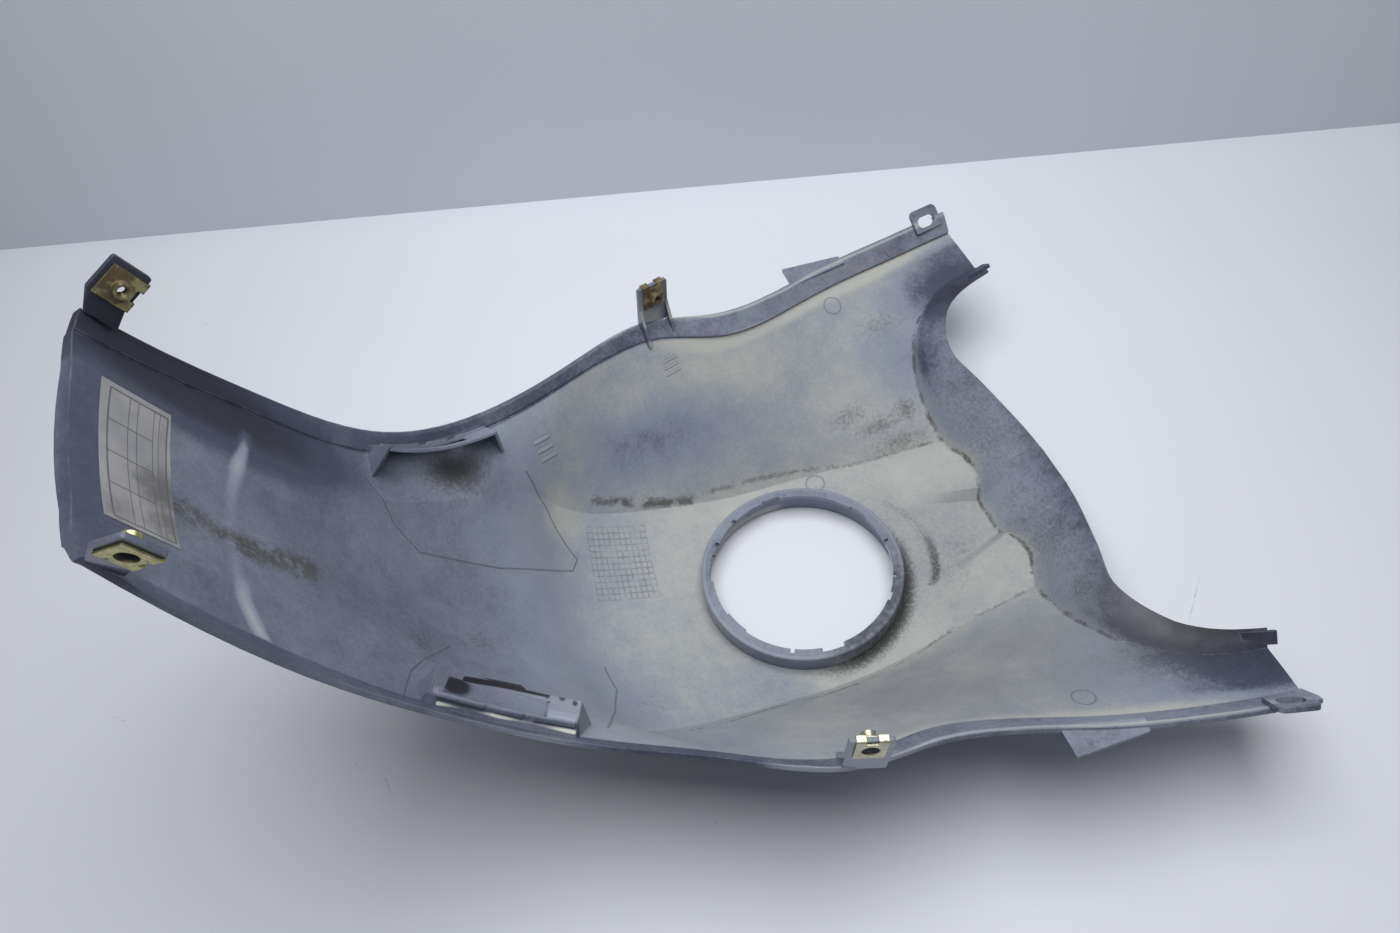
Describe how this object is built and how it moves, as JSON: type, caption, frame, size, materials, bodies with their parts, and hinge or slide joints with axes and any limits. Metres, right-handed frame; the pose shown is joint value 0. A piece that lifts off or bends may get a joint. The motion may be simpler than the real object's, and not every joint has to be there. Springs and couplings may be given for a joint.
{
  "type": "motorcycle tank cover",
  "caption": "Moulded plastic cover for a motorcycle fuel tank, seen from inside, with a round filler collar, a rising tail and two front arms.",
  "frame": {"origin": "centre of the filler collar's rim, on the collar's axis", "axes": "+X towards the front arms, +Y towards the left edge, +Z along the filler axis, out of the open inner side"},
  "size_m": [0.5537, 0.4466, 0.3411],
  "materials": {
    "shell": "matte, oversprayed",
    "label": "satin film",
    "nut": "yellow zinc plate"
  },
  "bodies": {
    "root": {"cover_shell": "shell", "label_sticker": "label", "u_nut_mid_left": "nut", "u_nut_mid_right": "nut", "u_nut_tail_left": "nut", "u_nut_tail_right": "nut"}
  },
  "joints": []
}
